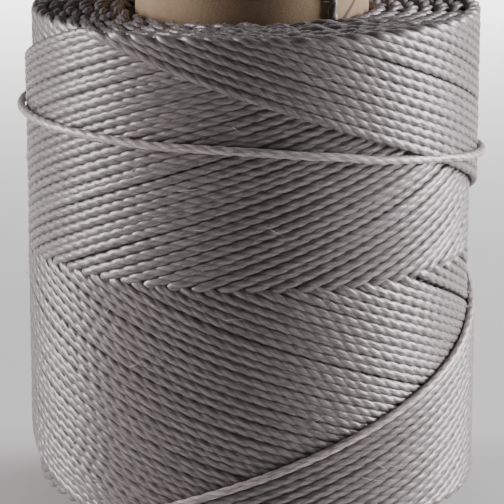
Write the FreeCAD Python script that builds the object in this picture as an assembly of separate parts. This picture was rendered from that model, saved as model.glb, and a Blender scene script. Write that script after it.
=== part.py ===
import FreeCAD, Part
import math
import os

# A spool of waxed thread: a laminated card tube, a cross-wound package of twisted thread,
# and a push-in plastic plug in each end of the tube, each with a bare paper label.
# The axis is +Z. The origin is the centre of the foot, on the surface that the spool stands on.
# Angles are in degrees about +Z from +X, and -90 is the front. All sizes are in millimetres.

# Driving dimensions of the thread and of the package that it makes
thread_diameter = 1.0
winding_radius = 25.0
winding_height = 54.0
double_strokes = 11
lead_per_stroke = 1 / 11.5
rising_share = 0.55
first_apex_angle = -137.0
turn_window = 10.5
self_gap = 0.48
seat_gap = 0.15

# Driving dimensions of the last wrap, which lies over all the others
last_rise_height = 47.6
wrap_entry = 14.0
wrap_turns = 0.91
wrap_drop = 9.5
tuck_radius = 1.2
tuck_gap = 0.1
first_riser_angle = 46.0

# Driving dimensions of the tube, from the inside out
bore_radius = 11.0
liner_thickness = 0.4
board_thickness = 1.2
paper_thickness = 0.3
glue_line = 0.05
tube_overhang = 4.0

# Driving dimensions of the notch in the rim and of the thread's first end in it
tail_angle = -50.0
notch_width = 1.8
notch_margin = 0.05
tail_inside_length = 5.0

# Driving dimensions of the end plugs
flange_lip = 2.0
flange_thickness = 1.2
plug_depth = 8.0
plug_clearance = 0.2
plug_wall = 1.2
hub_bore_radius = 4.0
hub_wall = 1.2
edge_chamfer = 0.3
web_count = 6
web_thickness = 1.0
web_setback = 1.0
rib_radius = 0.6
rib_clearance = 0.05
keyway_width = 2.8

# Driving dimensions of the labels
label_thickness = 0.15
label_recess = 0.3
label_margin = 0.25
label_lap = 0.6
hub_land = 1.5

# Sizes that follow from the driving dimensions
liner_outer = bore_radius + liner_thickness
board_inner = liner_outer + glue_line
board_outer = board_inner + board_thickness
paper_inner = board_outer + glue_line
tube_outer = paper_inner + paper_thickness
tube_bottom = flange_thickness
winding_bottom = tube_bottom + tube_overhang
winding_top = winding_bottom + winding_height
tube_top = winding_top + tube_overhang
overall_height = tube_top + flange_thickness
thread_radius = thread_diameter / 2
layer_step = thread_diameter + self_gap
rising_radius = winding_radius - thread_radius
falling_radius = rising_radius - layer_step
wrap_radius = rising_radius + layer_step
body_radius = falling_radius - thread_radius - seat_gap
body_inner = tube_outer + glue_line
plug_radius = bore_radius - plug_clearance
flange_radius = tube_outer + flange_lip
recess_outer = tube_outer + label_lap
recess_inner = hub_bore_radius + hub_land
hub_outer = hub_bore_radius + hub_wall


def ring(inner, outer, bottom, top):
    """A plain tube between two radii and two heights."""
    solid = Part.makeCylinder(outer, top - bottom, FreeCAD.Vector(0, 0, bottom))
    return solid.cut(Part.makeCylinder(inner, top - bottom, FreeCAD.Vector(0, 0, bottom)))


def turned(shape, angle):
    """A copy of the shape, turned about the axis."""
    copy = shape.copy()
    copy.rotate(FreeCAD.Vector(0, 0, 0), FreeCAD.Vector(0, 0, 1), angle)
    return copy


# The tube

def rim_notch():
    """The notch in the top rim that the thread's first end is laid through."""
    depth = notch_margin + thread_diameter + tail_bend_radius()
    corner = FreeCAD.Vector(0, -notch_width / 2, tube_top - depth)
    block = Part.makeBox(flange_radius, notch_width, 2 * depth, corner)
    return turned(block, tail_angle)


def tube_ply(inner, outer):
    """One ply of the laminated tube, over the tube's full length."""
    return ring(inner, outer, tube_bottom, tube_top).cut(rim_notch())


# The winding

def polar(radius, angle, height):
    """The point at this radius, angle in degrees, and height."""
    turn = math.radians(angle)
    return FreeCAD.Vector(radius * math.cos(turn), radius * math.sin(turn), height)


def along(radius, angle, slope):
    """The unit direction of a thread that climbs by slope millimetres in each radian."""
    turn = math.radians(angle)
    direction = FreeCAD.Vector(-radius * math.sin(turn), radius * math.cos(turn), slope)
    return direction.normalize()


def arc_between(start, corner, end):
    """The arc from start to end whose tangents meet at corner, at the same distance from both."""
    middle = (start + end) * 0.5
    rise = corner - middle
    half_chord = (end - start).Length / 2
    if rise.Length < 1e-6:
        return Part.LineSegment(start, end)
    half_turn = math.atan2(rise.Length, half_chord)
    crest = middle + rise.normalize() * (half_chord * math.tan(half_turn / 2))
    return Part.Arc(start, crest, end)


def biarc(start, start_way, end, end_way):
    """Two arcs that leave start and reach end along the given unit directions."""
    gap = end - start
    both = start_way + end_way
    square = 2 * (1 - start_way.dot(end_way))
    lean = gap.dot(both)
    if square < 1e-9:
        reach = gap.Length / 4
    else:
        reach = (-lean + math.sqrt(lean * lean + square * gap.dot(gap))) / square
    first_corner = start + start_way * reach
    second_corner = end - end_way * reach
    joint = (first_corner + second_corner) * 0.5
    return [arc_between(start, first_corner, joint), arc_between(joint, second_corner, end)]


def double_stroke_turns():
    """Turns in one stroke up and one down: two, less the step to the next thread."""
    return 2 - lead_per_stroke


def stroke_angle(rising):
    """Degrees that one stroke goes round, up or down."""
    share = rising_share if rising else 1 - rising_share
    return 360 * double_stroke_turns() * share


def stroke_slope(rising):
    """Millimetres of height in each radian of a stroke."""
    travel = winding_height - thread_diameter
    return travel / math.radians(stroke_angle(rising) - turn_window)


def stroke_end(rising):
    """How far a stroke's straight part stops below, or starts above, its turning height."""
    return stroke_slope(rising) * math.radians(turn_window) / 2


def stroke_stations(apex_angle, rising):
    """Where one stroke's straight part starts and ends, as angle, radius, height and slope."""
    radius = rising_radius if rising else falling_radius
    low = winding_bottom + thread_radius + stroke_end(rising)
    high = winding_top - thread_radius - stroke_end(rising)
    first = apex_angle + turn_window
    last = apex_angle + stroke_angle(rising) - turn_window
    slope = stroke_slope(rising) if rising else -stroke_slope(rising)
    heights = (low, high) if rising else (high, low)
    return [(first, radius, heights[0], slope), (last, radius, heights[1], slope)]


def helix_stations(first, last):
    """The stations from first to last, no more than a quarter turn apart."""
    steps = max(1, math.ceil((last[0] - first[0]) / 90))
    found = []
    for step in range(steps + 1):
        share = step / steps
        found.append(tuple(a + (b - a) * share for a, b in zip(first, last)))
    return found


def winding_stations():
    """Every station of the outer layer and the last wrap, in the order they were wound."""
    stations = []
    apex = first_apex_angle
    for stroke in range(double_strokes):
        up = stroke_stations(apex, True)
        if stroke == 0:
            start = up[0][0] + first_riser_angle
            climb = up[0][3] * math.radians(first_riser_angle)
            up[0] = (start, rising_radius, up[0][2] + climb, up[0][3])
        stations += helix_stations(up[0], up[1])
        apex += stroke_angle(True)
        down = stroke_stations(apex, False)
        stations += helix_stations(down[0], down[1])
        apex += stroke_angle(False)
    up = stroke_stations(apex, True)
    rise = math.radians(1) * up[0][3]
    leave = up[0][0] + (last_rise_height - up[0][2]) / rise
    stations += helix_stations(up[0], (leave, rising_radius, last_rise_height, up[0][3]))
    fall = -wrap_drop / math.radians(360 * wrap_turns)
    entry = math.radians(wrap_entry)
    entry_rise = (up[0][3] + fall) / 2 * entry
    wrap_start = (leave + wrap_entry, wrap_radius, last_rise_height + entry_rise, fall)
    wrap_end = (wrap_start[0] + 360 * wrap_turns, wrap_radius, wrap_start[2] - wrap_drop, fall)
    stations += helix_stations(wrap_start, wrap_end)
    return stations


def end_bend(station, sign):
    """The bend and the straight run that take the thread's end square to the body's face.

    The sign is 1 at the thread's start and -1 at its end. The points run away from the winding.
    """
    angle, radius, height, slope = station
    way = along(radius, angle, slope) * sign
    outward = polar(1, angle, 0)
    lift = polar(radius, angle, height)
    corner = lift - way * tuck_radius
    bend_end = corner - outward * tuck_radius
    foot = bend_end - outward * (radius - tuck_radius - body_radius - tuck_gap)
    return lift, corner, bend_end, foot


def winding_edges():
    """The edges of the outer layer's centre line, from the first end to the last."""
    stations = winding_stations()
    lift, corner, bend_end, foot = end_bend(stations[0], 1)
    edges = [Part.LineSegment(foot, bend_end), arc_between(bend_end, corner, lift)]
    for here, there in zip(stations, stations[1:]):
        start = polar(here[1], here[0], here[2])
        end = polar(there[1], there[0], there[2])
        if (end - start).Length > 1e-6:
            edges += biarc(start, along(here[1], here[0], here[3]), end, along(there[1], there[0], there[3]))
    lift, corner, bend_end, foot = end_bend(stations[-1], -1)
    edges += [arc_between(lift, corner, bend_end), Part.LineSegment(bend_end, foot)]
    return [edge.toShape() for edge in edges]


def swept_thread(edges):
    """One unbroken tube of the thread's diameter along the edges."""
    start = edges[0].Vertexes[0].Point
    way = edges[0].tangentAt(edges[0].FirstParameter)
    if (edges[0].valueAt(edges[0].FirstParameter) - start).Length > 1e-6:
        way = edges[0].tangentAt(edges[0].LastParameter) * -1
    profile = Part.Wire([Part.makeCircle(thread_radius, start, way)])
    return Part.Wire(edges).makePipeShell([profile], True, False)


def sampled(edges, step):
    """Points along the edges, and how far along the thread each lies."""
    points = []
    lengths = []
    done = 0
    for edge in edges:
        count = max(2, math.ceil(edge.Length / step) + 1)
        for index, point in enumerate(edge.discretize(Number=count)):
            points.append(point)
            lengths.append(done + edge.Length * index / (count - 1))
        done += edge.Length
    return points, lengths


def least_gap(edges):
    """The least clear gap between any two turns of the tube that aren't neighbours on it."""
    points, lengths = sampled(edges, 0.4)
    near = 3 * thread_diameter
    cells = {}
    for index, point in enumerate(points):
        key = (int(point.x // near), int(point.y // near), int(point.z // near))
        cells.setdefault(key, []).append(index)
    least = near
    place = None
    steps = (-1, 0, 1)
    offsets = [(i, j, k) for i in steps for j in steps for k in steps]
    for key, members in cells.items():
        others = []
        for offset in offsets:
            others += cells.get((key[0] + offset[0], key[1] + offset[1], key[2] + offset[2]), [])
        for first in members:
            for second in others:
                if lengths[second] - lengths[first] > 2 * near:
                    apart = (points[first] - points[second]).Length
                    if apart < least:
                        least = apart
                        place = points[first]
    return least - thread_diameter, place


def winding_body():
    """The inner layers of thread, as one plain drum that the outer layer lies on."""
    return ring(body_inner, body_radius, winding_bottom, winding_top)


def outer_winding():
    """The outer layer, wound up and down in one thread, and the last wrap with its tucked end."""
    edges = winding_edges()
    solid = swept_thread(edges)
    length = sum(edge.Length for edge in edges)
    expected = math.pi * thread_radius ** 2 * length
    gap, place = least_gap(edges)
    turns = sum(b[0] - a[0] for a, b in zip(winding_stations(), winding_stations()[1:])) / 360
    print("outer winding: %.2f loops, %.1f mm long" % (turns, length))
    print("outer winding: volume %.1f, section times length %.1f" % (solid.Volume, expected))
    print("outer winding: least gap to itself %.3f mm near %s" % (gap, place))
    print("outer winding: tightest bend %.2f mm" % tightest_bend(edges))
    return solid


def tightest_bend(edges):
    """The smallest radius of any arc along the edges."""
    radii = [edge.Curve.Radius for edge in edges if hasattr(edge.Curve, "Radius")]
    return min(radii)


# The first end of the thread

def tail_bend_radius():
    """Half the distance between the tail's two runs, one each side of the tube's wall."""
    outside = tube_outer + glue_line + thread_radius
    inside = bore_radius - glue_line - thread_radius
    return (outside - inside) / 2


def start_tail():
    """The thread's first end: up beside the tube, over the notch and down inside the bore."""
    bend = tail_bend_radius()
    outside = tube_outer + glue_line + thread_radius
    inside = outside - 2 * bend
    crown = tube_top - notch_margin - thread_radius - bend
    foot = winding_top + tuck_gap
    centre = outside - bend
    points = [polar(outside, tail_angle, foot), polar(outside, tail_angle, crown)]
    top = polar(centre, tail_angle, crown + bend)
    points += [polar(inside, tail_angle, crown), polar(inside, tail_angle, crown - tail_inside_length)]
    edges = [Part.LineSegment(points[0], points[1]).toShape()]
    edges.append(Part.Arc(points[1], top, points[2]).toShape())
    edges.append(Part.LineSegment(points[2], points[3]).toShape())
    return swept_thread(edges)


# The end plugs and their labels, made as the bottom one and turned over for the top

def plug_section():
    """Half the plug's section: the flange with its label recess, the sleeve and the hub."""
    top = flange_thickness + plug_depth
    sleeve_inner = plug_radius - plug_wall
    corners = [
        (hub_bore_radius, 0),
        (recess_inner, 0),
        (recess_inner, label_recess),
        (recess_outer, label_recess),
        (recess_outer, 0),
        (flange_radius - edge_chamfer, 0),
        (flange_radius, edge_chamfer),
        (flange_radius, flange_thickness),
        (plug_radius, flange_thickness),
        (plug_radius, top - edge_chamfer),
        (plug_radius - edge_chamfer, top),
        (sleeve_inner, top),
        (sleeve_inner, flange_thickness),
        (hub_outer, flange_thickness),
        (hub_outer, top),
        (hub_bore_radius, top),
    ]
    points = [FreeCAD.Vector(radius, 0, height) for radius, height in corners]
    return Part.Face(Part.makePolygon(points + points[:1]))


def plug():
    """A plug with webs between hub and sleeve, crush ribs, and a keyway for the thread's end."""
    solid = plug_section().revolve(FreeCAD.Vector(0, 0, 0), FreeCAD.Vector(0, 0, 1), 360)
    web_length = plug_radius - plug_wall / 2 - (hub_outer - hub_wall / 2)
    web_height = plug_depth - web_setback
    web_start = FreeCAD.Vector(hub_outer - hub_wall / 2, -web_thickness / 2, flange_thickness)
    web = Part.makeBox(web_length, web_thickness, web_height, web_start)
    rib_centre = bore_radius - rib_clearance - rib_radius
    rib_height = plug_depth - 2 * edge_chamfer
    rib = Part.makeCylinder(rib_radius, rib_height, FreeCAD.Vector(rib_centre, 0, flange_thickness))
    pieces = []
    for index in range(web_count):
        angle = 360 / web_count * (index + 0.5)
        pieces += [turned(web, angle), turned(rib, angle)]
    solid = solid.fuse(pieces).removeSplitter()
    slot_start = FreeCAD.Vector(hub_outer + keyway_width, -keyway_width / 2, flange_thickness)
    slot = Part.makeBox(plug_radius, keyway_width, plug_depth + 1, slot_start)
    return solid.cut(slot)


def label():
    """A bare paper ring stuck in the plug's recess."""
    inner = recess_inner + label_margin
    outer = recess_outer - label_margin
    return ring(inner, outer, label_recess - label_thickness, label_recess)


def at_bottom(shape):
    """The piece in the bottom end of the tube, with its keyway under the notch."""
    return turned(shape, tail_angle)


def at_top(shape):
    """The piece turned over and set on the top end of the tube."""
    copy = shape.copy()
    copy.rotate(FreeCAD.Vector(0, 0, 0), FreeCAD.Vector(1, 0, 0), 180)
    copy.translate(FreeCAD.Vector(0, 0, overall_height))
    return turned(copy, tail_angle)


def main():
    os.makedirs("parts", exist_ok=True)
    nodes = {
        "core_liner": tube_ply(bore_radius, liner_outer),
        "core_board": tube_ply(board_inner, board_outer),
        "core_wrap": tube_ply(paper_inner, tube_outer),
        "winding_body": winding_body(),
        "outer_winding": outer_winding(),
        "start_tail": start_tail(),
        "bottom_cap": at_bottom(plug()),
        "top_cap": at_top(plug()),
        "bottom_label": at_bottom(label()),
        "top_label": at_top(label()),
    }
    for name, shape in nodes.items():
        box = shape.BoundBox
        solids = len(shape.Solids)
        extent = (box.XMin, box.XMax, box.YMin, box.YMax, box.ZMin, box.ZMax)
        print(name, solids, shape.isValid(), "%.1f" % shape.Volume, ["%.2f" % value for value in extent])
        shape.exportStep("parts/" + name + ".step")


main()
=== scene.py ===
# %% [markdown]
# # A spool of waxed thread
#
# The real object is a card tube with one long thread wound on it in crossing strokes, up and
# down, and a plastic plug pushed into each end. This lesson starts from the measured model of
# its parts, which stays as it is, and dresses it: first the thread, strand by strand, then the
# tube, the plugs and their labels, and last the light and the camera.

# %% Load the measured model
import math

import bmesh
import bpy
import numpy as np
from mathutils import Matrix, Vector


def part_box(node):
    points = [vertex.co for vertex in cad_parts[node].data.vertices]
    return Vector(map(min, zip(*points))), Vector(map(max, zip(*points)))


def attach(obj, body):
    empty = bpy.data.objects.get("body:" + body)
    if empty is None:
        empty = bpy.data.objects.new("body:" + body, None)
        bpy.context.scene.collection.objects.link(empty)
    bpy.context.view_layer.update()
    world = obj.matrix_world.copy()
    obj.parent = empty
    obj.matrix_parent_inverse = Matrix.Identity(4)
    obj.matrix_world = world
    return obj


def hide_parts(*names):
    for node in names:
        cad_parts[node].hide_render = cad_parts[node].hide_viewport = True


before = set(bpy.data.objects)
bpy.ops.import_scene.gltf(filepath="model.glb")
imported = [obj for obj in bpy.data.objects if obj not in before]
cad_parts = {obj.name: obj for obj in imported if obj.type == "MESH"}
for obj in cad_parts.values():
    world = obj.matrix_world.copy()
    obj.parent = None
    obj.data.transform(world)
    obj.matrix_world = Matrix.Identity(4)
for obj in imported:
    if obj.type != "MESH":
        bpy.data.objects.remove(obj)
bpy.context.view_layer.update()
MM = 0.001
print("measured parts:", ", ".join(sorted(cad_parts)))

# %% [markdown]
# ## Sizes to work from
#
# The winding's height and the tube's radius are read from the measured parts, so the dressing
# follows them if they change. The package's radius turns angles into lengths, and its crown is
# where the newest strand lies. The rest describes the thread: how wide it lies, how long one
# turn of its plies is, and how much each pass adds. A wound strand is pressed between its
# neighbours, so it is wider than it is high. All of it is in millimetres, because a thread is
# easier to think about that way, and becomes metres when a mesh is made.

# %% Sizes of the package and the thread
body_low, body_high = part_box("winding_body")
tube_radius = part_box("core_wrap")[1].x / MM
ring_height = (body_low.z + body_high.z) / 2 / MM
half_height = (body_high.z - body_low.z) / 2 / MM
package_radius = 25.0
crown_radius = 26.0

strand_width = 1.16
pressed_share = 0.745
strand_rise = pressed_share * strand_width / 2
thread_lay = 5.2
pass_thickness = 0.85
strokes = 55
full_turn = 2 * math.pi

print(f"package {2 * half_height:.1f} mm high round a tube of {2 * tube_radius:.1f} mm")
print(f"a wound strand is {strand_width:.2f} mm wide and {2 * strand_rise:.2f} mm high")

# %% [markdown]
# ## The rule that the winding follows
#
# Each double stroke goes up and down once in two turns, less one small step, so the rising and
# the falling strands of the same age always meet on one level ring at mid height. A strand
# flattens as it nears an end, and comes back from there at an even slope. A formula says this
# better than a list of points, because every strand then follows from its neighbour. Heights
# here are counted from the ring, and angles from the front of the spool, growing to the right.

# %% Slopes and turns
step_turn = full_turn / strokes
ring_slope = 0.385
upper_end_slope, lower_end_slope = 0.30, 0.28
end_margin = 0.5
apex_round = 0.6
line_height = half_height - end_margin + apex_round


class HalfRule:
    """How strands run in the upper or the lower half: flatter as they arrive, even as they leave."""

    def __init__(self, end_slope):
        self.fade = package_radius * (ring_slope - end_slope) / line_height
        self.arriving_turn = math.log(ring_slope / end_slope) / self.fade
        self.leaving_turn = full_turn - step_turn / 2 - self.arriving_turn
        self.leaving_slope = line_height / package_radius / self.leaving_turn

    def arriving_height(self, turn):
        """How far from the ring a strand is after this turn towards an end."""
        return package_radius * ring_slope / self.fade * (1 - np.exp(-self.fade * turn))

    def arriving_angle(self, height):
        """The turn that a strand takes from the ring to this height."""
        share = np.clip(height, 0, line_height) * self.fade / (package_radius * ring_slope)
        return -np.log(1 - share) / self.fade

    def leaving_angle(self, height):
        """The turn that is left, at this height, for a strand that comes back to the ring."""
        return height / (package_radius * self.leaving_slope)


upper_rule, lower_rule = HalfRule(upper_end_slope), HalfRule(lower_end_slope)
newest_apex = math.radians(-41.7)
newest_crossing = newest_apex - upper_rule.arriving_turn
for half, rule in (("upper", upper_rule), ("lower", lower_rule)):
    there, back_again = math.degrees(rule.arriving_turn), math.degrees(rule.leaving_turn)
    print(f"{half} half: {there:.1f} degrees to the end and {back_again:.1f} back")

# %% [markdown]
# ## Noise that wanders slowly
#
# Thread on a real spool doesn't lie like machine wire: it wanders a little and it varies in
# thickness. White noise would only make it rough, so the noise here joins a few random knots
# smoothly, and its seed is fixed, so that every run gives the same spool.

# %% Smooth noise along a line
points_in_lay = 15
point_step = thread_lay / points_in_lay
noise = np.random.RandomState(7)


def smooth_noise(count, knot_points, size):
    """Noise along a path that wanders slowly: random knots, joined smoothly."""
    knots = noise.normal(0, size, count // knot_points + 4)
    place = np.arange(count) / knot_points
    first = place.astype(int)
    share = place - first
    share = share * share * (3 - 2 * share)
    return knots[first] * (1 - share) + knots[first + 1] * share


def softened(values, width_mm):
    """Values along the path after a soft blur of this width."""
    reach = int(math.ceil(3 * width_mm / point_step))
    weights = np.exp(-0.5 * (np.arange(-reach, reach + 1) * point_step / width_mm) ** 2)
    padded = np.concatenate([np.full(reach, values[0]), values, np.full(reach, values[-1])])
    return np.convolve(padded, weights / weights.sum(), mode="valid")


print(f"a point every {point_step:.2f} mm along the thread")

# %% [markdown]
# ## One long line
#
# The thread's path is worked out as the winder made it, the oldest strand of the outer layer
# first. Drawing the strands one by one would leave every crossing to be sorted by hand. Here a
# half stroke starts on top of everything and is slowly covered by later ones, which is the same
# as saying that its radius drops by two passes for each full turn of age, so the crossings
# sort themselves. At the ring and at the ends the strand climbs over its neighbours again,
# within about a millimetre.

# %% One half stroke
close_spacing, spacing_spread = 0.89, 0.06
gap_chance, least_gap, gap_spread = 0.28, 0.08, 0.22


def bunched_offsets(count):
    """Sideways shifts that lay most strands close together and leave a wider gap now and then."""
    spacing = close_spacing + spacing_spread * noise.rand(count)
    gap_follows = noise.rand(count) < gap_chance
    spacing += np.where(gap_follows, least_gap + gap_spread * noise.rand(count), 0.0)
    shift = np.cumsum(spacing / spacing.mean() - 1)
    shift -= shift.mean()
    return shift * step_turn * package_radius * upper_rule.leaving_slope


def half_stroke(turns, rising, upper, age):
    """Height, radius and the covering angle of one half stroke, for turns from its start."""
    rule = upper_rule if upper else lower_rule
    if rising == upper:
        height = rule.arriving_height(turns)
        cover = turns + rule.leaving_angle(height)
    else:
        height = line_height - package_radius * rule.leaving_slope * turns
        cover = turns + rule.arriving_turn - rule.arriving_angle(height)
    radius = crown_radius - strand_rise - pass_thickness * (2 * age + cover) / full_turn
    return (height if upper else -height), radius, cover


print(f"a strand lies {2 * pass_thickness:.2f} mm deeper for each full turn of age")

# %% The whole line, oldest strand first
half_kinds = [("rising", "lower"), ("rising", "upper"), ("falling", "upper"), ("falling", "lower")]
turn_step = point_step / package_radius / math.sqrt(1 + upper_rule.leaving_slope ** 2)
offsets = {kind: bunched_offsets(strokes) for kind in half_kinds}

stretches = []
angle_now = newest_crossing - lower_rule.leaving_turn + (strokes - 1) * (step_turn - 2 * full_turn)
for stroke in range(strokes - 1, -1, -1):
    for kind_index, (way, half) in enumerate(half_kinds):
        rising, upper = way == "rising", half == "upper"
        rule = upper_rule if upper else lower_rule
        whole = rule.arriving_turn if rising == upper else rule.leaving_turn
        count = int(round(whole / turn_step))
        turns = np.arange(count) * whole / count
        age = full_turn * (stroke if rising else stroke - 0.5) / strokes
        height, radius, cover = half_stroke(turns, rising, upper, age)
        stretches.append({
            "angle": angle_now + turns, "height": height, "radius": radius, "cover": cover + age,
            "shift": np.full(count, offsets[(way, half)][stroke]),
            "stroke": np.full(count, stroke), "kind": np.full(count, kind_index)})
        angle_now += whole
path = {name: np.concatenate([stretch[name] for stretch in stretches]) for name in stretches[0]}
total = len(path["angle"])
print(f"{len(stretches)} half strokes, {total} points")


# %% Small irregularities
def rounded(height):
    """The height of a strand whose sharp turn at the end is rounded off."""
    below = line_height - np.abs(height)
    return np.sign(height) * (line_height - np.sqrt(below ** 2 + apex_round ** 2))


calm_reach = 4.0
path["radius"] = softened(path["radius"], width_mm=0.5) + smooth_noise(total, knot_points=30, size=0.02)
path["height"] = rounded(path["height"])
freedom = np.clip((half_height - np.abs(path["height"])) / calm_reach, 0, 1)
sideways = softened(path["shift"], width_mm=3.0) + smooth_noise(total, knot_points=90, size=0.05)
sideways += smooth_noise(total, knot_points=25, size=0.022)
path["height"] += sideways * freedom
path["girth"] = 1 + smooth_noise(total, knot_points=40, size=0.018)
print(f"sideways shifts of up to {np.abs(sideways).max():.2f} mm")


# %% Points in space
def to_points(angle, radius, height):
    """Points in metres from the angle to the right of the front, the radius and the height."""
    x, y = radius * np.sin(angle), -radius * np.cos(angle)
    return np.stack([x, y, np.broadcast_to(height, np.shape(x)) + ring_height], axis=-1) * MM


def lengths_along(points):
    """How far along its line each point lies, in millimetres."""
    steps = np.linalg.norm(np.diff(points, axis=0), axis=1) / MM
    return np.concatenate([[0.0], np.cumsum(steps)])


path["point"] = to_points(path["angle"], path["radius"], path["height"])
path["along"] = lengths_along(path["point"]) + smooth_noise(total, knot_points=60, size=1.0)
print(f"outer layer: {path['along'][-1] / 1000:.1f} m of thread in {strokes} double strokes")

# %% [markdown]
# ## The surface under the last wrap
#
# The last wrap lies over everything, and the drum of older layers lies under everything, so
# both need to know how thick the package is at any angle and height. The finished meshes could
# be asked, with rays, but a small formula does it: the package is thinner where more has yet
# to be wound, so its radius depends on how long ago the newest rising strand and the newest
# falling strand went by.


# %% The package's outer radius
def package_surface(angle, height):
    """The outer radius of the package under the last wrap, at an angle and a height."""
    up, down = np.maximum(height, 0), np.maximum(-height, 0)
    upper = height > 0
    rising_lead = np.where(upper, upper_rule.arriving_angle(up), -lower_rule.leaving_angle(down))
    falling_lead = np.where(upper, -upper_rule.leaving_angle(up), lower_rule.arriving_angle(down))
    rising_age = np.mod(angle - (newest_crossing + rising_lead), full_turn)
    falling_age = np.mod(angle - (newest_crossing + falling_lead), full_turn)
    return crown_radius - pass_thickness * (rising_age + falling_age) / full_turn


front = package_surface(np.radians([-60.0, 0.0, 60.0]), np.full(3, 5.0))
print("radius at the front:", ", ".join(f"{value:.2f}" for value in front), "mm")

# %% [markdown]
# ## A node tree that lays thread along a line
#
# Three plies twisted together have a section like a clover leaf, which turns as it goes along.
# Three tubes for each strand would take three times the faces, most of them hidden inside. So
# one tree makes every strand: it turns a chain of edges into a curve, tilts the curve by the
# length already gone, and sweeps a clover-leaf profile along it. The groove between two plies
# follows an edge of the mesh, which keeps it crisp at few faces. Last it presses the strand
# flat towards the spool's axis. It stores two places for the material to use: "around", which
# turns with the plies, and "spot", which doesn't turn.


# %% The tree and its inputs
def add_node(tree, kind, inputs=(), **settings):
    """Adds a node, sets its properties, and links or sets its inputs by name or number."""
    node = tree.nodes.new(kind)
    for name, value in settings.items():
        setattr(node, name, value)
    for key, value in dict(inputs).items():
        if isinstance(value, bpy.types.NodeSocket):
            tree.links.new(value, node.inputs[key])
        else:
            node.inputs[key].default_value = value
    return node


thread_tree = bpy.data.node_groups.new("thread_along_path", "GeometryNodeTree")
thread_inputs = {"Geometry": "Geometry", "Thread Radius": "Float", "Twist Length": "Float",
                 "Ply Offset": "Float", "Ply Radius": "Float", "Flatness": "Float",
                 "Pressed Height": "Float", "Section Points": "Int", "Finish": "Material"}
for name, kind in thread_inputs.items():
    thread_tree.interface.new_socket(name=name, in_out="INPUT", socket_type="NodeSocket" + kind)
thread_tree.interface.new_socket(name="Geometry", in_out="OUTPUT", socket_type="NodeSocketGeometry")
given = add_node(thread_tree, "NodeGroupInput").outputs
print("inputs of the thread tree:", ", ".join(thread_inputs))

# %% The clover leaf
ply_count = 3


def calculate(tree, operation, first, second=0.0, third=0.0):
    """One Math node's result."""
    numbers = {0: first, 1: second, 2: third}
    return add_node(tree, "ShaderNodeMath", numbers, operation=operation).outputs[0]


def joined(tree, x, y, z=0.0):
    """A vector made of three numbers."""
    return add_node(tree, "ShaderNodeCombineXYZ", {0: x, 1: y, 2: z}).outputs[0]


def remembered(tree, geometry, name, vector):
    """The geometry with a vector stored on every point."""
    node = add_node(tree, "GeometryNodeStoreNamedAttribute", {
        "Geometry": geometry, "Name": name, "Value": vector}, data_type="FLOAT_VECTOR")
    return node.outputs[0]


def clover_profile(tree, points, ply_offset, ply_radius):
    """A unit clover leaf: a circle whose radius follows three round plies."""
    circle = add_node(tree, "GeometryNodeCurvePrimitiveCircle", {"Resolution": points, "Radius": 1.0})
    index = add_node(tree, "GeometryNodeInputIndex").outputs[0]
    angle = calculate(tree, "MULTIPLY", calculate(tree, "DIVIDE", index, points), full_turn)
    in_ply = calculate(tree, "FLOORED_MODULO", angle, full_turn / ply_count)
    from_ply = calculate(tree, "SUBTRACT", in_ply, math.pi / ply_count)
    across = calculate(tree, "MULTIPLY", ply_offset, calculate(tree, "SINE", from_ply))
    ply_square = calculate(tree, "POWER", ply_radius, 2.0)
    under = calculate(tree, "SUBTRACT", ply_square, calculate(tree, "POWER", across, 2.0))
    reach = calculate(tree, "MULTIPLY", ply_offset, calculate(tree, "COSINE", from_ply))
    radius = calculate(tree, "ADD", reach, calculate(tree, "SQRT", under))
    cosine, sine = calculate(tree, "COSINE", angle), calculate(tree, "SINE", angle)
    leaf_x, leaf_y = (calculate(tree, "MULTIPLY", radius, side) for side in (cosine, sine))
    moved = add_node(tree, "GeometryNodeSetPosition", {
        "Geometry": circle.outputs[0], "Position": joined(tree, leaf_x, leaf_y)})
    return remembered(tree, moved.outputs[0], "around", joined(tree, cosine, sine))


profile = clover_profile(thread_tree, given["Section Points"], given["Ply Offset"], given["Ply Radius"])
print(f"a clover leaf of {ply_count} plies: {len(thread_tree.nodes)} nodes so far")


# %% Sweeping the leaf along the line
def own_place(tree):
    """Where each point of the geometry is."""
    return add_node(tree, "GeometryNodeInputPosition").outputs[0]


def recalled(tree, name, kind):
    """What a stored attribute holds."""
    node = add_node(tree, "GeometryNodeInputNamedAttribute", {"Name": name}, data_type=kind)
    return node.outputs["Attribute"]


line = add_node(thread_tree, "GeometryNodeMeshToCurve", {"Mesh": given["Geometry"]}).outputs[0]
length_gone = recalled(thread_tree, "along", "FLOAT")
turns_gone = calculate(thread_tree, "DIVIDE", length_gone, given["Twist Length"])
tilt = calculate(thread_tree, "MULTIPLY", turns_gone, full_turn)
tilted = add_node(thread_tree, "GeometryNodeSetCurveTilt", {"Curve": line, "Tilt": tilt}).outputs[0]
centred = remembered(thread_tree, tilted, "centre", own_place(thread_tree))
girth = recalled(thread_tree, "girth", "FLOAT")
section_radius = calculate(thread_tree, "MULTIPLY", girth, given["Thread Radius"])
swept = add_node(thread_tree, "GeometryNodeCurveToMesh", {
    "Curve": centred, "Profile Curve": profile, "Scale": section_radius, "Fill Caps": True}).outputs[0]
print("with the sweep:", len(thread_tree.nodes), "nodes")


# %% Pressing the strand flat
def vector_math(tree, operation, first, second=(0.0, 0.0, 0.0)):
    """A Vector Math node's outputs."""
    return add_node(tree, "ShaderNodeVectorMath", {0: first, 1: second}, operation=operation).outputs


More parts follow.
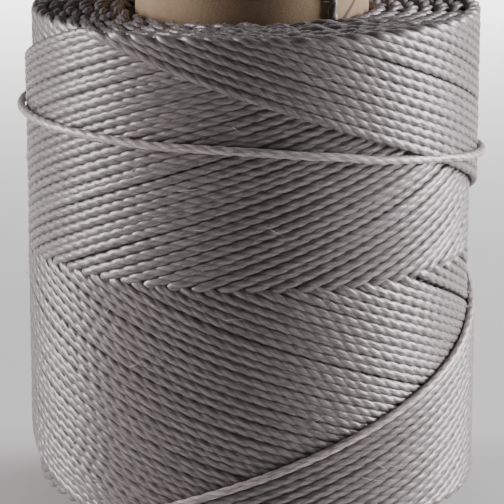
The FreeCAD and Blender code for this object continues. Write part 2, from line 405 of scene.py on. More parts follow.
def press_flat(tree, mesh, radius, flatness, height):
    """Presses a swept thread towards the spool's axis, with a flatter top and steep sides."""
    centre = recalled(tree, "centre", "FLOAT_VECTOR")
    level = vector_math(tree, "MULTIPLY", centre, (1.0, 1.0, 0.0))[0]
    outward = vector_math(tree, "NORMALIZE", level)[0]
    offset = vector_math(tree, "SUBTRACT", own_place(tree), centre)[0]
    reach = vector_math(tree, "DOT_PRODUCT", offset, outward)["Value"]
    share = calculate(tree, "DIVIDE", reach, radius)
    rise = add_node(tree, "ShaderNodeSeparateXYZ", {0: offset}).outputs[2]
    spot = joined(tree, share, calculate(tree, "DIVIDE", rise, radius))
    rounded_share = calculate(tree, "SINE", calculate(tree, "MULTIPLY", share, math.pi / 2))
    straight = calculate(tree, "MULTIPLY", share, calculate(tree, "SUBTRACT", 1.0, flatness))
    flat_share = calculate(tree, "MULTIPLY_ADD", rounded_share, flatness, straight)
    wanted = calculate(tree, "MULTIPLY", calculate(tree, "MULTIPLY", flat_share, height), radius)
    length = calculate(tree, "SUBTRACT", wanted, reach)
    move = add_node(tree, "ShaderNodeVectorMath", {0: outward, "Scale": length}, operation="SCALE")
    pressed = add_node(tree, "GeometryNodeSetPosition", {
        "Geometry": remembered(tree, mesh, "spot", spot), "Offset": move.outputs[0]})
    return pressed.outputs[0]


pressed = press_flat(thread_tree, swept, section_radius, given["Flatness"], given["Pressed Height"])
smooth = add_node(thread_tree, "GeometryNodeSetShadeSmooth", {0: pressed}).outputs[0]
realized = add_node(thread_tree, "GeometryNodeRealizeInstances", {0: smooth}).outputs[0]
finished = add_node(thread_tree, "GeometryNodeSetMaterial", {
    "Geometry": realized, "Material": given["Finish"]}).outputs[0]
add_node(thread_tree, "NodeGroupOutput", {"Geometry": finished})
print("the whole thread tree:", len(thread_tree.nodes), "nodes")


# %% From a chain of edges to a plain mesh
def show(name, data):
    """A new object in the scene that holds this mesh, camera or light."""
    piece = bpy.data.objects.new(name, data)
    bpy.context.scene.collection.objects.link(piece)
    return piece


def chain_mesh(name, chains):
    """A mesh of bare edges: each chain is points, lengths along and girths."""
    mesh = bpy.data.meshes.new(name)
    points = np.concatenate([chain[0] for chain in chains])
    edges = []
    first = 0
    for chain in chains:
        count = len(chain[0])
        edges += [(first + i, first + i + 1) for i in range(count - 1)]
        first += count
    mesh.from_pydata(points.tolist(), edges, [])
    for column, label in ((1, "along"), (2, "girth")):
        values = np.concatenate([chain[column] for chain in chains])
        layer = mesh.attributes.new(label, "FLOAT", "POINT")
        layer.data.foreach_set("value", values.astype(np.float32))
    return mesh


def set_input(modifier, name, value):
    """Sets a modifier's input, found by its name, through the socket's identifier."""
    for item in modifier.node_group.interface.items_tree:
        if item.item_type == "SOCKET" and item.in_out == "INPUT" and item.name == name:
            modifier[item.identifier] = value
            return
    raise KeyError(name)


def plain_mesh(piece):
    """Turns what the piece's modifiers make into its own plain mesh, and removes them."""
    graph = bpy.context.evaluated_depsgraph_get()
    made = bpy.data.meshes.new_from_object(piece.evaluated_get(graph))
    piece.modifiers.clear()
    piece.data = made


def triangle_count(piece):
    """Triangles in the piece's mesh."""
    return sum(len(face.vertices) - 2 for face in piece.data.polygons)


print("triangles of the measured tube:", triangle_count(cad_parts["core_wrap"]))

# %% [markdown]
# ## The thread's finish
#
# Waxed polyester is a warm grey here, with a soft gloss on each ply. Under a lens it shows fine
# filaments that run along the thread and lighter wax on the crowns. Its grooves are darkened with
# painted shade, and a painted highlight makes a glint here and there. A pattern on the object's
# own coordinates would run straight through the twist, so the finish reads the stored places
# instead. Noise on "spot" and the length along the strand is drawn out into filaments, and
# "around" tells a ply's crown from a groove. The newest strand stands proud and catches more
# light, so a second finish is a lighter copy of the first: painted light.


# %% Material helpers
def new_material(name, **surface):
    """A material with its principled shader's sockets set by name."""
    material = bpy.data.materials.new(name)
    material.use_nodes = True
    shader = material.node_tree.nodes["Principled BSDF"]
    for key, value in surface.items():
        shader.inputs[key.replace("_", " ")].default_value = value
    return material, material.node_tree, shader


def mixed(tree, share, first, second):
    """A colour between two colours or sockets."""
    inputs = {0: share, 6: first, 7: second}
    return add_node(tree, "ShaderNodeMix", inputs, data_type="RGBA").outputs[2]


def ramp(tree, value, low, high, from_value=0.0, to_value=1.0):
    """A value carried smoothly from one range to another."""
    inputs = {"Value": value, "From Min": low, "From Max": high, "To Min": from_value, "To Max": to_value}
    return add_node(tree, "ShaderNodeMapRange", inputs, interpolation_type="SMOOTHSTEP").outputs[0]


def noise_value(tree, vector, scale, detail=2.0):
    """The value of a noise texture at a vector."""
    inputs = {"Vector": vector, "Scale": scale, "Detail": detail}
    return add_node(tree, "ShaderNodeTexNoise", inputs).outputs[0]


def shaded(tone, share):
    """A colour made darker or lighter by a share."""
    return [channel * share for channel in tone[:3]] + [1.0]


def dress(tree, shader, colour, relief, depth, roughness=None):
    """Links a colour, a bump of this depth in millimetres and, where it varies, a roughness."""
    tree.links.new(colour, shader.inputs["Base Color"])
    bump = add_node(tree, "ShaderNodeBump", {"Height": relief, "Distance": depth * MM, "Strength": 1.0})
    tree.links.new(bump.outputs[0], shader.inputs["Normal"])
    if roughness is not None:
        tree.links.new(roughness, shader.inputs["Roughness"])


print("materials of the measured parts:", len(bpy.data.materials))


# %% The waxed thread
def stored_place(tree, name):
    """The parts of a place that is stored on the mesh."""
    vector = add_node(tree, "ShaderNodeAttribute", attribute_name=name).outputs["Vector"]
    return add_node(tree, "ShaderNodeSeparateXYZ", {0: vector}).outputs


def waxed_thread(name, crown, groove_shade_and_dark_tone, wax):
    """Twisted, waxed filament thread: streaks along the strand, painted shade in the grooves, painted
    glints, a soft gloss.
    """
    material, tree, shader = new_material(name, Coat_Weight=0.7, Coat_Roughness=0.28, Sheen_Weight=0.1)
    along = add_node(tree, "ShaderNodeAttribute", attribute_name="along").outputs["Fac"]
    spot, around = stored_place(tree, "spot"), stored_place(tree, "around")

    def stretched_noise(place, across, lengthwise, detail):
        """Noise drawn out along the thread."""
        side, out = (calculate(tree, "MULTIPLY", place[index], across) for index in (0, 1))
        gone = calculate(tree, "MULTIPLY", along, lengthwise)
        return noise_value(tree, joined(tree, side, out, gone), 1.0, detail)

    filaments = stretched_noise(spot, across=2.5, lengthwise=0.6, detail=2.0)
    painted_glints = stretched_noise(spot, across=3.2, lengthwise=1.1, detail=1.0)
    wax_patches = stretched_noise(around, across=1.2, lengthwise=0.5, detail=2.0)
    length_tone = stretched_noise(around, across=0.0, lengthwise=0.03, detail=1.0)
    angle = calculate(tree, "ARCTAN2", around[1], around[0])
    lobes = calculate(tree, "COSINE", calculate(tree, "MULTIPLY", angle, ply_count))
    tone = mixed(tree, ramp(tree, filaments, 0.35, 0.65), shaded(crown, 0.55), shaded(crown, 1.46))
    tone = mixed(tree, ramp(tree, wax_patches, 0.4, 0.75, to_value=0.4), tone, wax)
    # painted highlight: sparse glints in a colour lighter than the wax
    tone = mixed(tree, ramp(tree, painted_glints, 0.64, 0.72, to_value=0.6), tone, shaded(wax, 1.5))
    # painted shade: the grooves between the plies are drawn towards the dark groove colour
    tone = mixed(tree, ramp(tree, lobes, 0.45, 0.95, to_value=0.75), tone, groove_shade_and_dark_tone)
    # a darker tone along some stretches of strand, at random, towards the same dark colour
    tone = mixed(tree, ramp(tree, length_tone, 0.3, 0.7, to_value=0.22), tone, shaded(groove_shade_and_dark_tone, 0.8))
    roughness = ramp(tree, filaments, 0.35, 0.65, from_value=0.5, to_value=0.26)
    dress(tree, shader, tone, filaments, 0.09, roughness)
    return material


thread_finish = waxed_thread("waxed_thread", crown=(0.2, 0.176, 0.176, 1),
                             groove_shade_and_dark_tone=(0.1, 0.084, 0.084, 1), wax=(0.31, 0.265, 0.274, 1))
# painted light: a lighter copy of the thread's finish, for the proud last wrap
painted_light_finish = waxed_thread("waxed_thread_painted_light", crown=(0.48, 0.42, 0.42, 1),
                            groove_shade_and_dark_tone=(0.3, 0.255, 0.255, 1), wax=(0.53, 0.46, 0.47, 1))
print("finishes:", thread_finish.name, "and", painted_light_finish.name)

# %% [markdown]
# ## The outer strands
#
# A strand shows only until later ones cover it. Sweeping the whole line at full detail would
# spend most of the faces out of sight. The line is therefore cut into stretches that show,
# which get the full clover-leaf section, and stretches that lie one layer down, where a coarse
# tube is enough to be glimpsed through the gaps. The stretches are sorted into pieces by the
# way that they run, their half of the package and their age.

# %% Cut the line into stretches
crossing_margin = int(3.0 / point_step)
cover_margin = 0.1
new_strokes = 16
least_points = 3

shows = path["cover"] < full_turn + cover_margin
home = path["kind"].copy()
home_stroke = path["stroke"].copy()
for start in np.flatnonzero(np.diff(path["kind"])) + 1:
    before = slice(max(0, start - crossing_margin), start)
    shows[before.start:start + crossing_margin] = True
    home[before] = path["kind"][start]
    home_stroke[before] = path["stroke"][start]


def chains_where(mask, group, stride=1, overlap=1):
    """Chains of the path where the mask holds, cut also where the group changes."""
    edges = np.flatnonzero((np.diff(mask.astype(int)) != 0) | (np.diff(group) != 0)) + 1
    bounds = np.concatenate([[0], edges, [total]])
    found = []
    for first, last in zip(bounds[:-1], bounds[1:]):
        if not mask[first] or last - first < least_points:
            continue
        low, high = max(0, first - overlap), min(total, last + overlap)
        picked = np.arange(low, high, stride)
        if picked[-1] != high - 1:
            picked = np.append(picked, high - 1)
        chain = [path[name][picked] for name in ("point", "along", "girth")]
        found.append((int(group[first]), chain))
    return found


visible_chains = chains_where(shows, home * 2 + (home_stroke >= new_strokes))
covered_chains = chains_where(~shows, np.zeros(total, int), stride=3, overlap=2)
print(f"{len(visible_chains)} stretches show and {len(covered_chains)} are covered")


# %% Lay the strands
def lay_thread(name, chains, material, section_points=15, diameter=strand_width, ply_offset=0.275,
               ply_radius=0.725, flatness=0.35, height=pressed_share, twist=thread_lay):
    """One piece of twisted thread for each chain, as a single named object on the spool."""
    piece = show(name, chain_mesh(name, chains))
    modifier = piece.modifiers.new("thread", "NODES")
    modifier.node_group = thread_tree
    for label, value in (("Thread Radius", diameter / 2 * MM), ("Twist Length", twist),
                         ("Ply Offset", ply_offset), ("Ply Radius", ply_radius),
                         ("Flatness", flatness), ("Pressed Height", height),
                         ("Section Points", section_points), ("Finish", material)):
        set_input(modifier, label, value)
    plain_mesh(piece)
    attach(piece, "spool")
    print(f"{name}: {len(chains)} stretches, {triangle_count(piece)} triangles")
    return piece


for kind_index, (way, half) in enumerate(half_kinds):
    for is_older, age_name in enumerate(("newer", "older")):
        chosen = [chain for group, chain in visible_chains if group == kind_index * 2 + is_older]
        strands = lay_thread(f"{way}_strands_{half}_{age_name}", chosen, thread_finish)
        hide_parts("outer_winding")
covered = [chain for group, chain in covered_chains]
covered_strands = lay_thread("covered_strands", covered, thread_finish, section_points=8)
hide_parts("outer_winding")

# %% [markdown]
# ## The last wrap
#
# The newest strand climbs along the outside of the package, then runs once round it, almost
# level, and its end is tucked under. Nothing has pressed it flat yet, so it is rounder than the
# rest. It stands proud and catches more light, so its finish is a lighter copy: painted light. It
# lies over every other strand, so it follows the surface formula, half a thread further out. Its
# way round the front follows no rule, so its heights there are a few measured places, joined by a
# smooth curve.


# %% The last wrap's heights
def smooth_through(places, values, wanted):
    """A smooth curve through a few values."""
    slopes = np.gradient(values, places)
    index = np.clip(np.searchsorted(places, wanted) - 1, 0, len(places) - 2)
    width = places[index + 1] - places[index]
    t = (wanted - places[index]) / width
    early = (2 * t ** 3 - 3 * t ** 2 + 1) * values[index] + (t ** 3 - 2 * t ** 2 + t) * width * slopes[index]
    late = (3 * t ** 2 - 2 * t ** 3) * values[index + 1] + (t ** 3 - t ** 2) * width * slopes[index + 1]
    return early + late


wrap_crossing = newest_crossing + full_turn - step_turn
wrap_foot = wrap_crossing - lower_rule.leaving_turn
level_start, wrap_end = math.radians(226), math.radians(607)
climbing_places = np.radians([150, 170, 190, 210, 226])
climbing_heights = upper_rule.arriving_height(climbing_places - wrap_crossing)
measured_wrap = [(250, 15.7), (275, 15.8), (300, 15.7), (316, 15.55), (336, 15.3), (353, 15.2), (364, 14.9),
                 (373, 14.5), (382, 14.1), (390, 13.5), (399, 13.05), (410, 12.45), (440, 11.0), (480, 9.8),
                 (530, 8.6), (607, 6.8)]
measured_places, measured_heights = zip(*measured_wrap)
wrap_places = np.concatenate([climbing_places, np.radians(measured_places)])
wrap_heights = np.concatenate([climbing_heights, measured_heights])

wrap_angle = np.arange(wrap_foot, wrap_end, turn_step)
before_ring, before_level = wrap_angle < wrap_crossing, wrap_angle < level_start
lower_height, lower_radius, _ = half_stroke(wrap_angle - wrap_foot, True, False, -step_turn)
upper_height, upper_radius, _ = half_stroke(wrap_angle - wrap_crossing, True, True, -step_turn)
wrap_height = np.where(before_ring, rounded(lower_height), upper_height)
measured = wrap_angle > climbing_places[1]
wrap_height[measured] = smooth_through(wrap_places, wrap_heights, wrap_angle[measured])
print(f"the last wrap goes round {math.degrees(wrap_end - wrap_foot):.0f} degrees")

# %% Lay the last wrap
wrap_diameter = 0.94
tuck_length, tuck_depth, tuck_drop = 7.0, 1.5, 0.5

laid_on = package_surface(wrap_angle, wrap_height) + wrap_diameter / 2
wrap_radius = np.where(before_ring, lower_radius, np.where(before_level, upper_radius, laid_on))
wrap_radius = softened(wrap_radius, width_mm=0.9)
wrap_radius += smooth_noise(len(wrap_angle), knot_points=40, size=0.03)
tuck = np.clip((wrap_angle - wrap_end) * package_radius / tuck_length + 1, 0, 1)
wrap_radius -= tuck_depth * tuck * tuck
wrap_height += smooth_noise(len(wrap_angle), knot_points=60, size=0.05) - tuck_drop * tuck * tuck
wrap_points = to_points(wrap_angle, wrap_radius, wrap_height)
wrap_chain = (wrap_points, lengths_along(wrap_points), np.ones(len(wrap_angle)))
last_wrap = lay_thread("last_wrap", [wrap_chain], painted_light_finish, diameter=wrap_diameter,
                       ply_offset=0.28, ply_radius=0.72, flatness=0.3, height=0.95)
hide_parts("outer_winding")

# %% [markdown]
# ## The ends of the older layers
#
# From above, a cross-wound package shows the turns of all its layers, one inside the other.
# A bumpy disc would do from afar, but the turns cast real shadows close up. So each is laid as
# a short arc of thread: the strand comes up, turns just under the rim and goes down again, over
# the next older one. The arcs go round in a slow spiral, down to the tube.

# %% Turns at the ends
end_turn_diameter = 1.0
turn_reach = 7.5
turn_spacing = thread_lay / 9
early_share = 0.85
crossing_width = 0.8
sink_spread, angle_spread = 0.12, 0.012


def end_turns(name, upper):
    """The short arcs of the inner layers at one end of the package."""
    rule = upper_rule if upper else lower_rule
    first_turn = upper_rule.arriving_turn if upper else -lower_rule.leaving_turn - step_turn
    leaving_climb = package_radius * rule.leaving_slope
    smallest = tube_radius + end_turn_diameter * 0.6
    chains = []
    age = 1.0
    while True:
        radius = crown_radius - strand_rise - pass_thickness * (0.5 + 2 * age)
        if radius < smallest:
            break
        around = np.arange(-turn_reach / radius, turn_reach / radius, turn_spacing / radius)
        climb = np.where(around < 0, leaving_climb * early_share, leaving_climb)
        drop = np.sqrt((climb * around) ** 2 + apex_round ** 2) - apex_round
        height = half_height - end_margin - drop - abs(noise.normal(0, sink_spread))
        over = radius + pass_thickness / 2 * np.tanh(around * radius / crossing_width)
        over += smooth_noise(len(around), knot_points=9, size=0.04)
        angle = newest_crossing + first_turn + full_turn * age + around + noise.normal(0, angle_spread)
        points = to_points(angle, over, height if upper else -height)
        start = noise.rand() * thread_lay
        chains.append((points, lengths_along(points) + start, np.ones(len(around))))
        age += package_radius / (strokes * radius)
    piece = lay_thread(name, chains, thread_finish, section_points=9, diameter=end_turn_diameter,
                       flatness=0.3, height=0.92)
    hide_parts("winding_body")


end_turns("end_turns_top", upper=True)
end_turns("end_turns_bottom", upper=False)

# %% [markdown]
# ## The drum of covered layers
#
# Under the strands lies the rest of the package. Only slivers of it show, deep in the gaps. A
# plain cylinder would come through where the package is thin or leave a dark hollow where it is
# thick, so the drum is a closed tube that stays just under the covered strands all the way
# round. Its finish is painted shade: a tone much darker than the thread, darker still in
# crossing lines that only hint at crossing strands.


# %% The drum
def closed_drum(name, outer, heights, inner):
    """A closed tube whose outer radius is given for each height and angle."""
    columns = outer.shape[1]
    angle = np.arange(columns) * full_turn / columns
    rings = [np.full(columns, inner)] + list(outer) + [np.full(columns, inner)]
    levels = [heights[0]] + list(heights) + [heights[-1]]
    points = np.concatenate([to_points(angle, radius, level) for radius, level in zip(rings, levels)])
    faces = []
    for row in range(len(rings)):
        here, above = row * columns, (row + 1) % len(rings) * columns
        for column in range(columns):
            beside = (column + 1) % columns
            faces.append((here + column, here + beside, above + beside, above + column))
    mesh = bpy.data.meshes.new(name)
    mesh.from_pydata(points.tolist(), [], faces)
    return show(name, mesh)


drum_depth, drum_end_gap, drum_play = 1.95, 1.3, 0.05
drum_rows, drum_columns, drum_neighbours = 36, 240, 3
drum_heights = np.linspace(-half_height + drum_end_gap, half_height - drum_end_gap, drum_rows)
drum_angles = np.arange(drum_columns) * full_turn / drum_columns
surface = package_surface(drum_angles[None, :], drum_heights[:, None])
turned = [np.roll(surface, shift, axis=1) for shift in range(-drum_neighbours, drum_neighbours + 1)]
surface = np.min(turned, axis=0) - drum_depth
drum = closed_drum("covered_layers", surface, drum_heights, tube_radius + drum_play)
print(f"covered layers: {triangle_count(drum)} triangles")


# %% The look of covered thread
def object_place(tree):
    """The place on the object, in its own coordinates."""
    return add_node(tree, "ShaderNodeTexCoord").outputs["Object"]


def round_the_axis(tree, place):
    """The angle round the spool's axis and the height of a place."""
    split = add_node(tree, "ShaderNodeSeparateXYZ", {0: place}).outputs
    return calculate(tree, "ARCTAN2", split[1], split[0]), split[2]


def wound_shadow(name, colour, groove_shade_and_dark_tone, line_spacing=1.05):
    """Painted shade for covered thread: a dark tone, darker still in fine crossing lines."""
    material, tree, shader = new_material(name, Roughness=0.6)
    angle, level = round_the_axis(tree, object_place(tree))
    lines = []
    for way in (1, -1):
        slide = calculate(tree, "MULTIPLY", angle, way * package_radius * ring_slope * MM)
        slanted = calculate(tree, "ADD", level, slide)
        waves = calculate(tree, "MULTIPLY", slanted, full_turn / (line_spacing * MM))
        lines.append(calculate(tree, "SINE", waves))
    either = calculate(tree, "MAXIMUM", lines[0], lines[1])
    dress(tree, shader, mixed(tree, ramp(tree, either, -0.6, 0.8), groove_shade_and_dark_tone, colour), either, 0.2)
    return material


# painted shade: the covered layers are much darker than the thread itself
covered_thread_painted_shade = wound_shadow("covered_thread_painted_shade", (0.08, 0.066, 0.064, 1), (0.03, 0.024, 0.023, 1))
drum.data.materials.append(covered_thread_painted_shade)
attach(drum, "spool")
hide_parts("winding_body")
print("finish of the drum:", covered_thread_painted_shade.name)

# %% [markdown]
# ## The thread's first end
#
# Winding starts with the thread's end laid through a notch in the tube's rim and down inside,
# where the plug holds it. A curve drawn by hand could miss the notch, so the line is worked out
# from the tube and the measured end: two straight runs and a half circle. The thread tree
# turns it into thread.

# %% The first end over the rim
tail_low, tail_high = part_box("start_tail")
bore_radius = 11.0
tail_angle = math.radians(40)
tail_diameter = 0.99
tail_play = 0.05
tail_start_depth = 1.0
bend_points = 16

tail_outside = tube_radius + tail_play + tail_diameter / 2
tail_inside = bore_radius - tail_play - tail_diameter / 2
tail_bend = (tail_outside - tail_inside) / 2
tail_crown = tail_high.z / MM - tail_diameter / 2 - tail_bend
bend_turns = np.linspace(0, math.pi, bend_points)
bend_radius = tail_outside - tail_bend * (1 - np.cos(bend_turns))
rise = np.arange(body_high.z / MM - tail_start_depth, tail_crown, point_step)
bend = tail_crown + tail_bend * np.sin(bend_turns)
fall = np.arange(tail_crown - point_step, tail_low.z / MM, -point_step)
rise_radius, fall_radius = np.full(len(rise), tail_outside), np.full(len(fall), tail_inside)
tail_radius = np.concatenate([rise_radius, bend_radius, fall_radius])
tail_height = np.concatenate([rise, bend, fall]) - ring_height
tail_points = to_points(np.full(len(tail_radius), tail_angle), tail_radius, tail_height)
tail_chain = (tail_points, lengths_along(tail_points), np.ones(len(tail_radius)))
thread_tail = lay_thread("thread_tail", [tail_chain], thread_finish, diameter=tail_diameter,
                         flatness=0.0, height=1.0)
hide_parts("start_tail")

# %% [markdown]
# ## Loose fibres
#
# Even waxed thread sheds a few filaments. Each is a hair of a few hundredths of a millimetre
# that follows the surface and lifts off it in a curl. A particle system could grow them, but it
# would have to be turned into a mesh anyway. The thread tree makes them as well, with a thin,
# nearly untwisted section.

# %% Loose fibres
hair_count, hair_points = 110, 14
hair_diameter, hair_twist = 0.065, 500.0
hair_heights, hair_reaches, hair_lifts = (-24, 24), (0.8, 2.6), (0.15, 0.7)
hair_leans, hair_bows = (-0.6, 0.6), (-0.5, 0.5)
hair_depth, hair_clearance = 0.15, 0.1
hair_curl, hair_taper = 0.75, 0.7


def loose_hair():
    """One hair: it follows the package's surface and lifts off it in a curl."""
    start_angle, start_height = noise.uniform(-math.pi, math.pi), noise.uniform(*hair_heights)
    reach, lift = noise.uniform(*hair_reaches), noise.uniform(*hair_lifts)
    lean, bow = noise.uniform(*hair_leans), noise.uniform(*hair_bows)
    share = np.linspace(0, 1, hair_points)
    angle = start_angle + reach * share * math.cos(lean) / package_radius
    height = start_height + reach * share * math.sin(lean) + bow * share ** 2
    root = package_surface(np.array([start_angle]), np.array([start_height]))[0] - hair_depth
    points = to_points(angle, root + lift * np.sin(share * math.pi * hair_curl) + hair_clearance, height)
    return points, lengths_along(points), 1 - hair_taper * share


fibre_finish, fibre_tree, fibre_shader = new_material("loose_fibre", Roughness=0.45, Sheen_Weight=0.3)
fibre_share = noise_value(fibre_tree, object_place(fibre_tree), 900.0)
fibre_tone = mixed(fibre_tree, fibre_share, (0.5, 0.45, 0.46, 1), (0.85, 0.8, 0.8, 1))
fibre_tree.links.new(fibre_tone, fibre_shader.inputs["Base Color"])
hairs = [loose_hair() for _ in range(hair_count)]
lay_thread("loose_fibres", hairs, fibre_finish, section_points=6, diameter=hair_diameter,
           flatness=0.0, height=1.0, twist=hair_twist)

# %% [markdown]
# ## The tube
#
# The tube is laminated from strips of paper wound in a spiral, so its outer ply shows a slanted
# seam where two strips meet, and its core is pulp board. The measured parts have the right
# shape and only lack a finish. The seam is drawn from the angle and the height in the part's
# own coordinates, which needs no unwrapping, and the paper's fibres are noise stretched along
# the strip.


# %% The paper plies
def spiral_paper(name, tone, seam, strip_climb):
    """Kraft paper wound in a spiral, with a thin slanted seam and short fibres."""
    material, tree, shader = new_material(name, Roughness=0.82)
    place = object_place(tree)
    angle, level = round_the_axis(tree, place)
    turns = calculate(tree, "DIVIDE", angle, full_turn)
    climb = calculate(tree, "DIVIDE", level, strip_climb * MM)
    strip = calculate(tree, "FRACT", calculate(tree, "SUBTRACT", climb, turns))
    from_middle = calculate(tree, "ABSOLUTE", calculate(tree, "SUBTRACT", strip, 0.5))
    seam_line = ramp(tree, from_middle, 0.494, 0.498)
    stretch = zip((angle, level, strip), (60.0, 9000.0, 30.0))
    drawn_out = [calculate(tree, "MULTIPLY", value, scale) for value, scale in stretch]
    fibres = noise_value(tree, joined(tree, *drawn_out), 1.0, detail=4.0)
    clouds = noise_value(tree, place, 350.0, detail=3.0)
    colour = mixed(tree, ramp(tree, fibres, 0.3, 0.7), shaded(tone, 0.78), tone)
    colour = mixed(tree, ramp(tree, clouds, 0.3, 0.75, to_value=0.4), colour, shaded(tone, 1.2))
    colour = mixed(tree, seam_line, colour, seam)
    relief = calculate(tree, "SUBTRACT", fibres, calculate(tree, "MULTIPLY", seam_line, 1.5))
    dress(tree, shader, colour, relief, 0.05)
    return material


def finish_node(node, material):
    """Gives a measured part another material in every one of its slots."""
    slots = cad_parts[node].data.materials
    for index in range(len(slots)):
        slots[index] = material
    print(f"{node}: {material.name}")


kraft = spiral_paper("kraft_paper", (0.36, 0.25, 0.15, 1), (0.12, 0.075, 0.045, 1), strip_climb=66.0)
liner = spiral_paper("liner_paper_pale", (0.46, 0.40, 0.32, 1), (0.2, 0.16, 0.12, 1), strip_climb=58.0)
finish_node("core_wrap", kraft)
finish_node("core_liner", liner)


# %% The board between them
def grey_board(name, tone):
    """Pulp board: flecks of light and dark fibre."""
    material, tree, shader = new_material(name, Roughness=0.9)
    place = object_place(tree)
    flecks = noise_value(tree, place, 2600.0, detail=3.0)
    clouds = noise_value(tree, place, 500.0, detail=2.0)
    colour = mixed(tree, ramp(tree, flecks, 0.35, 0.65), shaded(tone, 0.7), tone)
    colour = mixed(tree, ramp(tree, clouds, 0.4, 0.7, to_value=0.3), colour, shaded(tone, 1.25))
    dress(tree, shader, colour, flecks, 0.04)
    return material


finish_node("core_board", grey_board("pulp_board", (0.27, 0.25, 0.22, 1)))

# %% [markdown]
# ## The plugs
#
# The plugs are moulded in near-black plastic. No moulding has the sharp edges of a measured
# solid, and shading alone can't round them. So a copy of each is welded, its sharp edges get a
# small bevel, which catches the light, and the copy stands for the solid. A fine spark-eroded
# grain and slightly polished patches finish it.


# %% The plugs' plastic
def moulded_plastic(name, tone):
    """Dark moulded plastic: fine grain, a trace of dust, rubbed a little here and there."""
    material, tree, shader = new_material(name, Roughness=0.4)
    place = object_place(tree)
    grain = noise_value(tree, place, 9000.0, detail=2.0)
    clouds = noise_value(tree, place, 260.0, detail=3.0)
    colour = mixed(tree, ramp(tree, clouds, 0.35, 0.75), tone, shaded(tone, 2.0))
    roughness = ramp(tree, clouds, 0.3, 0.7, from_value=0.36, to_value=0.52)
    dress(tree, shader, colour, grain, 0.012, roughness)
    return material


plug_finish = moulded_plastic("plug_plastic_dark", (0.012, 0.012, 0.013, 1))
print("finish of the plugs:", plug_finish.name)

# %% Plugs with rounded edges
weld_distance, flat_angle = 1e-6, math.radians(0.5)
plug_bevel, bevel_steps = 0.12 * MM, 2
bevel_angle, crease_angle = math.radians(40), math.radians(35)


def rounded_copy(node, name, material):
    """A welded copy of a measured part with its sharp edges rounded."""
    mesh = bpy.data.meshes.new(name)
    work = bmesh.new()
    work.from_mesh(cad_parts[node].data)
    bmesh.ops.remove_doubles(work, verts=work.verts, dist=weld_distance)
    bmesh.ops.dissolve_limit(work, angle_limit=flat_angle, verts=work.verts, edges=work.edges)
    work.to_mesh(mesh)
    work.free()
    mesh.materials.clear()
    mesh.materials.append(material)
    piece = show(name, mesh)
    modifier = piece.modifiers.new("edges", "BEVEL")
    modifier.width = plug_bevel
    modifier.segments = bevel_steps
    modifier.limit_method = "ANGLE"
    modifier.angle_limit = bevel_angle
    plain_mesh(piece)
    piece.data.shade_smooth()
    piece.data.set_sharp_from_angle(angle=crease_angle)
    return piece


for node, name, body in (("top_cap", "top_plug", "upper_plug"), ("bottom_cap", "bottom_plug", "lower_plug")):
    plug = rounded_copy(node, name, plug_finish)
    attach(plug, body)
    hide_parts(node)
    print(f"{name}: {triangle_count(plug)} triangles")

# %% [markdown]
# ## The labels
#
# A disc of cream paper lies in each plug's recess, bare but for thin printed rings. Rings of
# geometry would stand up from the paper, and an image would need a file. The distance to the
# axis, in the part's own coordinates, draws them exactly, at any size.


# %% Labels
def printed_label(name, tone, ink, ring_radii, line_width, line_edge=0.04):
    """Cream paper with thin printed rings, drawn from the distance to the axis."""
    material, tree, shader = new_material(name, Roughness=0.7)
    place = object_place(tree)
    flat = vector_math(tree, "MULTIPLY", place, (1.0, 1.0, 0.0))[0]
    distance = vector_math(tree, "LENGTH", flat)["Value"]
    fibres = noise_value(tree, place, 3000.0, detail=4.0)
    colour = mixed(tree, ramp(tree, fibres, 0.3, 0.7), shaded(tone, 0.93), tone)
    for ring in ring_radii:
        away = calculate(tree, "ABSOLUTE", calculate(tree, "SUBTRACT", distance, ring * MM))
        line = ramp(tree, away, line_width * MM, (line_width + line_edge) * MM, 1.0, 0.0)
        colour = mixed(tree, line, colour, ink)
    dress(tree, shader, colour, fibres, 0.015)
    return material


label_finish = printed_label("cream_label", (0.74, 0.69, 0.58, 1), (0.16, 0.13, 0.12, 1),
                             ring_radii=(6.6, 12.2, 12.7), line_width=0.09)
finish_node("top_label", label_finish)
finish_node("bottom_label", label_finish)

# %% [markdown]
# ## Floor and camera
#
# The floor is plain and pale, and large enough for its edge to stay out of the way. The camera
# stands where the photograph was taken from: about twelve package radii away, with a long lens,
# looking a little down. That place was worked out from the strands' slopes, because a camera
# moved by eye would give them another perspective.

# %% Floor
floor_side = 4.0

bpy.ops.mesh.primitive_plane_add(size=floor_side, location=(0, 0, 0))
floor = bpy.context.object
floor.name = "floor"
floor_material, floor_tree, floor_shader = new_material("pale_floor", Roughness=0.6)
floor_clouds = noise_value(floor_tree, object_place(floor_tree), 6.0)
floor_tone = mixed(floor_tree, floor_clouds, (0.78, 0.78, 0.77, 1), (0.82, 0.82, 0.81, 1))
floor_tree.links.new(floor_tone, floor_shader.inputs["Base Color"])
floor.data.materials.append(floor_material)
print("floor:", floor_material.name)

# %% Camera
camera_distance = 0.300
camera_elevation = math.radians(13.84)
aim = Vector((0, 0, 0.03045))
image_side_px, focal_px = 504, 2633

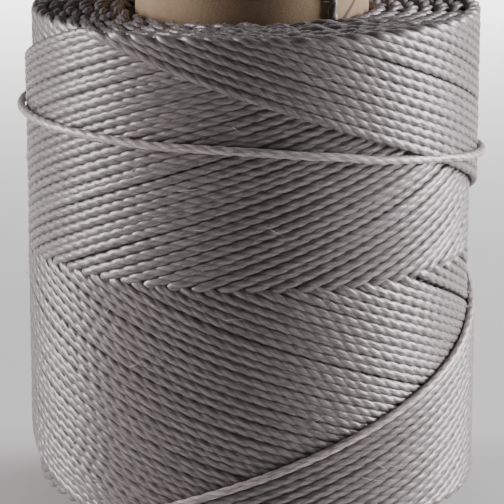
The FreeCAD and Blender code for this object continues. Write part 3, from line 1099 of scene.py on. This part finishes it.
camera_data = bpy.data.cameras.new("camera")
camera_data.sensor_width = 36.0
camera_data.lens = focal_px / image_side_px * camera_data.sensor_width
camera = show("camera", camera_data)
back = Vector((0, -math.cos(camera_elevation), math.sin(camera_elevation)))
camera.location = aim + back * camera_distance
camera.rotation_mode = "QUATERNION"
camera.rotation_quaternion = (-back).to_track_quat("-Z", "Y")
bpy.context.scene.camera = camera
print(f"camera: a lens of {camera_data.lens:.0f} mm, {camera_distance * 1000:.0f} mm away")

# %% [markdown]
# ## Light
#
# The photograph's light comes low from both sides and from a little behind, so the middle of
# the winding is the darkest part and both edges glow, the right one more. Lamps without size
# would make hard highlights on the wax, so each is a soft box, two on the right and one on the
# left. A fourth lights the floor behind, and a dim, even sky fills the grooves.

# %% Lights
light_distance = 0.50
cool_white, rosy_white = (1.0, 0.97, 0.99), (1.0, 0.95, 0.96)
spool_middle = (0, 0, ring_height * MM)


def soft_light(name, azimuth, elevation, power, colour=(1, 1, 1), size=0.25, target=spool_middle):
    """A square soft box that faces the spool's middle, or another place."""
    data = bpy.data.lights.new(name, "AREA")
    data.size = size
    data.energy = power
    data.color = colour
    light = show(name, data)
    turn, rise = math.radians(azimuth), math.radians(elevation)
    away = Vector((math.sin(turn) * math.cos(rise), -math.cos(turn) * math.cos(rise), math.sin(rise)))
    light.location = Vector(target) + away * light_distance
    light.rotation_mode = "QUATERNION"
    light.rotation_quaternion = away.to_track_quat("Z", "Y")
    print(f"{name}: {power} W from {azimuth} degrees")
    return light


soft_light("right_box", azimuth=96, elevation=11, power=4.3, colour=cool_white)
soft_light("right_back_box", azimuth=112, elevation=22, power=1.9, colour=cool_white)
soft_light("left_box", azimuth=-95, elevation=13, power=3.6, colour=rosy_white)
floor_box = soft_light("floor_box", azimuth=180, elevation=80, power=4.0, size=0.40, target=(0, 0.55, 0))
floor_box.data.spread = math.radians(55)

world = bpy.data.worlds.new("studio")
bpy.context.scene.world = world
world.use_nodes = True
sky = world.node_tree.nodes["Background"].inputs
sky["Color"].default_value = (0.9, 0.9, 0.9, 1)
sky["Strength"].default_value = 0.08
